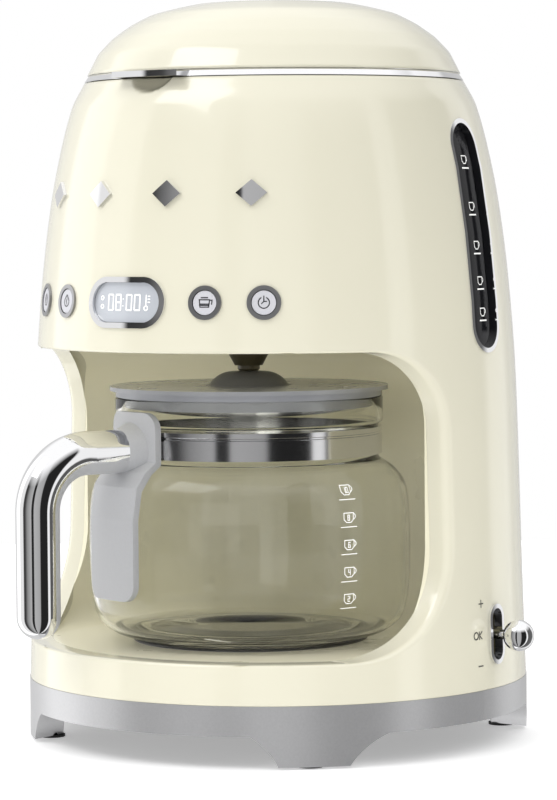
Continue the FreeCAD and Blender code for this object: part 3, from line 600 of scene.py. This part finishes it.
def lid_shell():
    """Domed lid with a smooth outer face, open behind for the hinge."""
    base_z = LID_OUTLINE[0][1]
    top_z = LID_OUTLINE[-1][1]
    outer = []
    for i in range(LID_ROWS + 1):
        z = base_z + (top_z - base_z) * math.sin(math.radians(90 * i / LID_ROWS))
        outer.append((max(lid_radius(z), POLE_R), z))
    rim_radius, rim_z = outer[0]
    inner = [(max(radius - LID_WALL, POLE_R), z - LID_INNER_DROP) for radius, z in outer[2:]]
    closed = [(rim_radius - LID_RIM_BEVEL, rim_z - LID_RIM_DROP)] + outer + inner[::-1]
    closed.append((rim_radius - LID_WALL, rim_z))
    points, faces = turned(closed, 0.0, LID_STEPS)
    thing = finished("lid_dome_enamel", points, faces, LOOKS["cream_enamel"], "lid",
                     ["lid_shell"])
    cut_notch(thing)


lid_shell()


# ---------------------------------------------------------------- carafe

GLASS_WALL = 2.2
WAIST = 63.2
NECK = 65.7
JUG_RIM = 168.0
JUG_ROWS = 60
JUG_STEPS = 192
# The base is thicker inside than the wall: rows that have it in full, and rows that it fades over.
BASE_THICKENING = 2.2
THICK_ROWS = 8
FADING_ROWS = 16
# (radius, height) above the jug's outline, over the waist under the band to the neck.
NECK_OUTLINE = [
    (WAIST + 0.4, 138.2), (WAIST, 139.4), (WAIST, 153.6), (WAIST + 0.8, 154.8),
    (NECK - 0.4, 155.6), (NECK, 156.6), (NECK, 161.0), (NECK, JUG_RIM - 0.8),
]
RIM_OUTLINE = [(NECK - 0.3, JUG_RIM - 0.1), (NECK - 1.1, JUG_RIM), (NECK - 1.9, JUG_RIM - 0.1)]
BASE_OUTLINE = [(POLE_R, 52.2), (48.0, 52.0), (51.0, 50.6), (54.0, 50.3)]


def jug_side(offset):
    """Outer side of the jug, moved inwards, from the base to the rim."""
    low = JUG_OUTLINE[0][1]
    high = JUG_OUTLINE[-1][1]
    side = []
    for i in range(JUG_ROWS + 1):
        share = i / JUG_ROWS
        z = low + (high - low) * (0.5 - 0.5 * math.cos(math.pi * share))
        thickening = BASE_THICKENING if i < THICK_ROWS else 1.0
        lift = offset * thickening * max(1 - i / FADING_ROWS, 0)
        side.append((spline(JUG_OUTLINE, z) - offset, z + lift))
    return side + [(radius - offset, z) for radius, z in NECK_OUTLINE]


def jug():
    """Glass jug with a thick base and a rolled rim."""
    outer = jug_side(0.0)
    inner = jug_side(GLASS_WALL)
    radius, z = inner[0]
    base_inner = [(radius - 6, z - 0.4), (40.0, z + 0.4), (POLE_R, z + 0.8)]
    closed = BASE_OUTLINE + outer + RIM_OUTLINE + inner[::-1] + base_inner
    points, faces = turned(closed, JUG_Y, JUG_STEPS)
    finished("carafe_glass_clear", points, faces, LOOKS["clear_glass"], "carafe",
             ["carafe_glass"])


jug()


# ---------------------------------------------------------------- printed marks

# Longer strokes are made of pieces about this long, so that they follow a round side.
STROKE_STEP = 2.0


def on_side(radius_of, angle, z, lift, y_centre=0.0):
    """Map flat (u, v) millimetres on to an upright round side."""
    def put(u, v):
        radius = radius_of(z + v) + lift
        return ring_point(radius, angle + math.degrees(u / radius), z + v, y_centre)
    return put


def on_button(x, lift):
    """Map flat (u, v) millimetres on to the face of a button."""
    radius = body_radius(CONTROL_Z)
    slope = (body_radius(CONTROL_Z + 1) - body_radius(CONTROL_Z - 1)) / 2
    y = -math.sqrt(radius * radius - x * x)
    outward = Vector((x, y, -radius * slope)).normalized()
    side = Vector((0, 0, 1)).cross(outward).normalized()
    up = outward.cross(side)
    middle = place(x, y, CONTROL_Z) + outward * lift * MM

    def put(u, v):
        return middle + (side * u + up * v) * MM
    return put


def printed(name, lines, width, put, look, body):
    """Strokes of one width along flat polylines."""
    points = []
    faces = []
    for line in lines:
        for (x0, y0), (x1, y1) in zip(line, line[1:]):
            length = math.hypot(x1 - x0, y1 - y0)
            if length == 0:
                continue
            ux = (x1 - x0) / length * width / 2
            uy = (y1 - y0) / length * width / 2
            steps = max(1, int(length / STROKE_STEP))
            for i in range(steps):
                a = i / steps
                b = (i + 1) / steps
                sx = x0 + (x1 - x0) * a - (ux if i == 0 else 0)
                sy = y0 + (y1 - y0) * a - (uy if i == 0 else 0)
                ex = x0 + (x1 - x0) * b + (ux if i == steps - 1 else 0)
                ey = y0 + (y1 - y0) * b + (uy if i == steps - 1 else 0)
                first = len(points)
                points += [put(sx + uy, sy - ux), put(ex + uy, ey - ux),
                           put(ex - uy, ey + ux), put(sx - uy, sy + ux)]
                faces.append((first, first + 1, first + 2, first + 3))
    finished(name, points, faces, look, body, smooth=False)


def arc(cx, cy, radius, start, end, steps=14):
    """Polyline along part of a circle, in degrees."""
    result = []
    for i in range(steps + 1):
        turn = math.radians(start + (end - start) * i / steps)
        result.append((cx + radius * math.cos(turn), cy + radius * math.sin(turn)))
    return result


SEGMENTS = {
    "0": "abcdef", "1": "bc", "2": "abged", "4": "fgbc", "6": "afgedc", "8": "abcdefg",
}
SEGMENT_ENDS = {
    "a": ((0, 2), (1, 2)), "b": ((1, 1), (1, 2)), "c": ((1, 0), (1, 1)), "d": ((0, 0), (1, 0)),
    "e": ((0, 0), (0, 1)), "f": ((0, 1), (0, 2)), "g": ((0, 1), (1, 1)),
}


def digit(text, x, y, width, height, gap=0.0):
    """Seven-segment strokes of one digit, each cut short by the gap at both ends."""
    lines = []
    for segment in SEGMENTS[text]:
        (ax, ay), (bx, by) = SEGMENT_ENDS[segment]
        start = (x + ax * width, y + ay * height / 2)
        end = (x + bx * width, y + by * height / 2)
        if gap:
            length = math.hypot(end[0] - start[0], end[1] - start[1])
            dx = (end[0] - start[0]) / length * gap
            dy = (end[1] - start[1]) / length * gap
            start = (start[0] + dx, start[1] + dy)
            end = (end[0] - dx, end[1] - dy)
        lines.append([start, end])
    return lines


def cup(x, y, size):
    """Small cup outline with a handle."""
    half = size / 2
    bowl = [(x - half, y + half * 0.8), (x + half, y + half * 0.8), (x + half, y - half * 0.3)]
    bowl += [(x + half * 0.5, y - half * 0.8), (x - half * 0.5, y - half * 0.8)]
    bowl += [(x - half, y - half * 0.3), (x - half, y + half * 0.8)]
    return [bowl, arc(x + half, y + half * 0.2, half * 0.45, 90, -90, 6)]


# Display: how far the prints lie inside the body's line, and the clock's digits.
DISPLAY_SINK = 0.45
CLOCK = (("0", -10.4), ("8", -5.6), ("0", 0.9), ("0", 5.7))
CLOCK_LOW = -3.6
CLOCK_DIGIT = (3.0, 7.2)
CLOCK_GAP = 0.35
CLOCK_STROKE = 0.75
DISPLAY_STROKE = 0.55
# How far the prints stand off the smooth body: on the buttons, and on the sides.
BUTTON_LIFT = 0.56
PRINT_LIFT = 0.12
BUTTON_STROKE = 0.5
# Level scale: depth of the window's face, foot of the scale and heights of its marks above it.
WINDOW_DEPTH = 3.45
SCALE_FOOT = 190.0
LEVEL_MARKS = (88.2, 65.8, 47.2, 30.2, 15.2)
LEVEL_LINE = (0.6, 7.4)
LEVEL_CUP = 4.6
LEVEL_CUP_U = 3.8
LEVEL_CUP_RISE = 4.0
LEVEL_LINE_STROKE = 0.7
LEVEL_CUP_STROKE = 0.45
# Lever legends: their angle from straight front, and the heights of the three.
LEGEND_ANGLE = 90.0
PLUS_Z = 71.0
OKAY_Z = 56.0
MINUS_Z = 41.4
LEGEND_STROKE = 0.6
LETTER_HALF = 1.7
PLUS_HALF = 1.6
# Carafe scale: where it is round the jug, and the height of each number of cups.
JUG_SCALE_ANGLE = 74.7
JUG_MARKS = (("10", 121.7), ("8", 108.7), ("6", 95.8), ("4", 82.8), ("2", 70.1))
JUG_LINE_HALF = 4.6
JUG_CUP = 5.6
JUG_CUP_RISE = 4.4
JUG_DIGIT = (1.1, 2.4)
JUG_DIGIT_RISE = 3.2
JUG_DIGIT_PITCH = 1.7
JUG_STROKE = 0.42


def display_marks():
    """Clock digits, and small icons on both sides of them."""
    panel = on_side(body_radius, 0.0, CONTROL_Z, -DISPLAY_SINK)
    clock = []
    for text, x in CLOCK:
        clock += digit(text, x, CLOCK_LOW, *CLOCK_DIGIT, CLOCK_GAP)
    printed("display_digits", clock, CLOCK_STROKE, panel, DISPLAY_LIGHT_AND_PAINTED_GLOW_PRINT, "machine")
    colon = [[(-1.2, y), (-1.19, y)] for y in (-1.6, 1.6)]
    thermometer = [arc(12.2, -2.6, 1.0, 0, 360), [(12.2, -1.6), (12.2, 3.4)]]
    thermometer += [[(13.4, y), (14.2, y)] for y in (0.2, 1.6, 3.0)]
    rings = [arc(-14.6, 2.0, 0.9, 0, 360, 8), arc(-14.6, -2.0, 0.9, 0, 360, 8)]
    printed("display_icons", colon + thermometer + rings, DISPLAY_STROKE, panel, DISPLAY_LIGHT_AND_PAINTED_GLOW_PRINT,
            "machine")


def button_marks():
    """One plain icon on each button."""
    jug_icon = [[(-2.6, 1.4), (-2.2, -2.0), (2.0, -2.0), (2.4, 1.4), (-2.6, 1.4)],
                [(-1.6, 2.4), (1.4, 2.4)], [(2.4, 1.2), (3.6, 1.2), (3.4, -0.6)],
                [(-2.4, -0.6), (2.2, -0.6)], [(-2.4, -1.2), (2.1, -1.2)]]
    power_icon = [arc(0, 0, 2.6, 120, 420), [(0, 0.6), (0, 3.0)],
                  [(-1.0, -0.4), (0, 0.6), (1.2, 0.6)]]
    bean_icon = [arc(0, -0.3, 2.2, 130, 410), [(-1.4, 1.4), (0, 3.0), (1.4, 1.4)],
                 [(0.2, 1.0), (-0.4, -0.2), (0.3, -1.4)]]
    icons = (bean_icon, bean_icon, jug_icon, power_icon)
    for number, (x, lines) in enumerate(zip(BUTTON_X, icons), 1):
        printed("button_icon_%d" % number, lines, BUTTON_STROKE, on_button(x, BUTTON_LIFT),
                BLACK_PRINT, "push_%d" % number)


def level_marks():
    """A line and a cup at each level of the water window."""
    def window_radius(z):
        return body_radius(z) - WINDOW_DEPTH

    scale = on_side(window_radius, LEVEL_ANGLE, SCALE_FOOT, 0.0)
    lines = []
    cups = []
    for v in LEVEL_MARKS:
        lines.append([(u, v) for u in LEVEL_LINE])
        cups += cup(LEVEL_CUP_U, v + LEVEL_CUP_RISE, LEVEL_CUP)
    # These scale prints glow with a painted glow.
    printed("level_scale_lines", lines, LEVEL_LINE_STROKE, scale, DISPLAY_LIGHT_AND_PAINTED_GLOW_PRINT, "machine")
    printed("level_scale_cups", cups, LEVEL_CUP_STROKE, scale, DISPLAY_LIGHT_AND_PAINTED_GLOW_PRINT, "machine")


def lever_marks():
    """Plus, OK and minus beside the lever."""
    legend = on_side(body_radius, LEGEND_ANGLE, 0.0, PRINT_LIFT)
    plus = [[(-PLUS_HALF, PLUS_Z), (PLUS_HALF, PLUS_Z)],
            [(0, PLUS_Z - PLUS_HALF), (0, PLUS_Z + PLUS_HALF)]]
    minus = [[(-3.2, MINUS_Z), (0.2, MINUS_Z)]]
    letter_top = OKAY_Z + LETTER_HALF
    letter_foot = OKAY_Z - LETTER_HALF
    okay = [arc(-4.6, OKAY_Z, LETTER_HALF, 0, 360),
            [(-2.0, letter_top), (-2.0, letter_foot)],
            [(0.1, letter_top), (-1.9, OKAY_Z), (0.1, letter_foot)]]
    printed("lever_legends", plus + minus + okay, LEGEND_STROKE, legend, GREY_PRINT, "machine")


def jug_marks():
    """A line, and a cup with a number in it, at each level of the carafe."""
    def glass_radius(z):
        return spline(JUG_OUTLINE, z)

    side = on_side(glass_radius, JUG_SCALE_ANGLE, 0.0, PRINT_LIFT, JUG_Y)
    strokes = []
    for text, z in JUG_MARKS:
        strokes.append([(-JUG_LINE_HALF, z), (JUG_LINE_HALF, z)])
        strokes += cup(0.0, z + JUG_CUP_RISE, JUG_CUP)
        start = -1.5 if len(text) == 2 else -0.6
        for index, letter in enumerate(text):
            across = start + JUG_DIGIT_PITCH * index
            strokes += digit(letter, across, z + JUG_DIGIT_RISE, *JUG_DIGIT)
    # The carafe's scale glows with a painted glow.
    printed("carafe_scale", strokes, JUG_STROKE, side, DISPLAY_LIGHT_AND_PAINTED_GLOW_PRINT, "carafe")


display_marks()
button_marks()
level_marks()
lever_marks()
jug_marks()


# ---------------------------------------------------------------- camera, light and floor

CAMERA_AZIMUTH = 37.6
CAMERA_ELEVATION = 2.609
CAMERA_DISTANCE = 1.6614
CAMERA_LENS = 150.77
CAMERA_SENSOR = 36.0
CAMERA_REACH = 50.0
CAMERA_ROLL = -0.425
TARGET_Z = 0.180
AIM_DROP = 0.01528
AIM_RIGHT = 0.0011
FLOOR_REACH = 1.0
FLOOR_CORNERS = 64
# Grey of the studio at each angle from the camera's direction, positive to the right.
STUDIO = [
    (-180, 0.7), (-136, 0.75), (-132, 1.5), (-104, 1.5), (-100, 0.9), (-78, 0.9), (-75, 0.04),
    (-64, 0.06), (-52, 0.3), (-29, 0.5), (-28, 0.02), (-17, 0.02), (-16, 0.5), (14, 0.42),
    (18, 0.02), (55, 0.02), (57, 1.0), (68, 1.0), (70, 0.10), (116, 0.16), (121, 0.95),
    (140, 0.95), (144, 0.6), (180, 0.62),
]
# Over these heights of direction the studio turns into its bright ceiling.
CEILING_FROM = 0.45
CEILING_FULL = 0.75
CEILING_GREY = 1.15


def direction(azimuth, elevation):
    """Unit vector from the machine, by degrees right of straight front and degrees up."""
    turn = math.radians(azimuth)
    rise = math.radians(elevation)
    return Vector((math.sin(turn) * math.cos(rise), -math.cos(turn) * math.cos(rise),
                   math.sin(rise)))


def make_camera():
    """Long-lens camera a little above the machine's middle, to its right."""
    azimuth = math.radians(CAMERA_AZIMUTH)
    right = Vector((math.cos(azimuth), math.sin(azimuth), 0))
    target = Vector((AXIS_X, AXIS_Y, TARGET_Z))
    data = bpy.data.cameras.new("camera")
    data.lens = CAMERA_LENS
    data.sensor_width = CAMERA_SENSOR
    data.clip_end = CAMERA_REACH
    camera = bpy.data.objects.new("camera", data)
    camera.location = target + direction(CAMERA_AZIMUTH, CAMERA_ELEVATION) * CAMERA_DISTANCE
    aim = target + right * AIM_RIGHT - Vector((0, 0, AIM_DROP))
    turn = (aim - camera.location).to_track_quat("-Z", "Y").to_matrix()
    turn = turn @ Matrix.Rotation(math.radians(CAMERA_ROLL), 3, "Z")
    camera.rotation_euler = turn.to_euler()
    bpy.context.scene.collection.objects.link(camera)
    bpy.context.scene.camera = camera


def make_floor():
    """Plain pale round floor, left out of mirror reflections so that they show the studio."""
    mesh = bpy.data.meshes.new("floor")
    edge = []
    for i in range(FLOOR_CORNERS):
        turn = 2 * math.pi * i / FLOOR_CORNERS
        edge.append((FLOOR_REACH * math.cos(turn), FLOOR_REACH * math.sin(turn), 0))
    mesh.from_pydata(edge, [], [tuple(range(FLOOR_CORNERS))])
    mesh.materials.append(surface("floor", (0.9, 0.9, 0.9), 0.6, scale=3, tint=0.003, bump=0.0,
                                  glow=0.4))
    floor = bpy.data.objects.new("floor", mesh)
    floor.visible_glossy = False
    bpy.context.scene.collection.objects.link(floor)


def make_light(name, azimuth, elevation, distance, size, power, mirrored=True):
    """Soft rectangular light aimed at the machine, placed by its direction from the front."""
    data = bpy.data.lights.new(name, "AREA")
    data.shape = "RECTANGLE"
    data.size, data.size_y = size
    data.energy = power
    light = bpy.data.objects.new(name, data)
    aim = Vector((AXIS_X, AXIS_Y, TARGET_Z))
    light.location = aim + direction(azimuth, elevation) * distance
    light.visible_glossy = mirrored
    light.rotation_euler = (aim - light.location).to_track_quat("-Z", "Y").to_euler()
    bpy.context.scene.collection.objects.link(light)


def make_world():
    """Studio of light and dark panels round the machine, white where it is seen directly."""
    world = bpy.data.worlds.new("studio")
    bpy.context.scene.world = world
    world.use_nodes = True
    nodes = world.node_tree.nodes
    links = world.node_tree.links
    background = nodes["Background"]
    background.inputs["Strength"].default_value = 1.0

    coords = nodes.new("ShaderNodeTexCoord")
    turn = nodes.new("ShaderNodeMapping")
    turn.inputs["Rotation"].default_value = (0, 0, -math.radians(CAMERA_AZIMUTH))
    split = nodes.new("ShaderNodeSeparateXYZ")
    links.new(coords.outputs["Generated"], turn.inputs["Vector"])
    links.new(turn.outputs["Vector"], split.inputs["Vector"])
    flip = nodes.new("ShaderNodeMath")
    flip.operation = "MULTIPLY"
    flip.inputs[1].default_value = -1
    links.new(split.outputs["Y"], flip.inputs[0])
    angle = nodes.new("ShaderNodeMath")
    angle.operation = "ARCTAN2"
    links.new(split.outputs["X"], angle.inputs[0])
    links.new(flip.outputs["Value"], angle.inputs[1])
    share = nodes.new("ShaderNodeMapRange")
    share.inputs["From Min"].default_value = -math.pi
    share.inputs["From Max"].default_value = math.pi
    links.new(angle.outputs["Value"], share.inputs["Value"])

    ramp = nodes.new("ShaderNodeValToRGB")
    elements = ramp.color_ramp.elements
    while len(elements) < len(STUDIO):
        elements.new(0.5)
    for element, (degrees, grey) in zip(elements, STUDIO):
        element.position = (degrees + 180) / 360
        element.color = (grey, grey, grey, 1)
    links.new(share.outputs["Result"], ramp.inputs["Fac"])

    top = nodes.new("ShaderNodeMapRange")
    top.inputs["From Min"].default_value = CEILING_FROM
    top.inputs["From Max"].default_value = CEILING_FULL
    links.new(split.outputs["Z"], top.inputs["Value"])
    with_top = nodes.new("ShaderNodeMixRGB")
    with_top.inputs["Color2"].default_value = (CEILING_GREY, CEILING_GREY, CEILING_GREY, 1)
    links.new(top.outputs["Result"], with_top.inputs["Fac"])
    links.new(ramp.outputs["Color"], with_top.inputs["Color1"])

    seen = nodes.new("ShaderNodeLightPath")
    white = nodes.new("ShaderNodeMixRGB")
    white.inputs["Color2"].default_value = (1.0, 1.0, 1.0, 1)
    links.new(seen.outputs["Is Camera Ray"], white.inputs["Fac"])
    links.new(with_top.outputs["Color"], white.inputs["Color1"])
    links.new(white.outputs["Color"], background.inputs["Color"])


make_camera()
make_floor()
make_light("key light", -20, 48, 1.8, (1.0, 0.8), 7.4)
make_light("alcove light", 12, 4, 2.4, (1.6, 1.0), 8, mirrored=False)
make_light("fill light", 80, 30, 2.0, (0.9, 1.2), 5, mirrored=False)
make_world()
bpy.context.scene.view_settings.view_transform = "Standard"
bpy.context.scene.view_settings.look = "None"
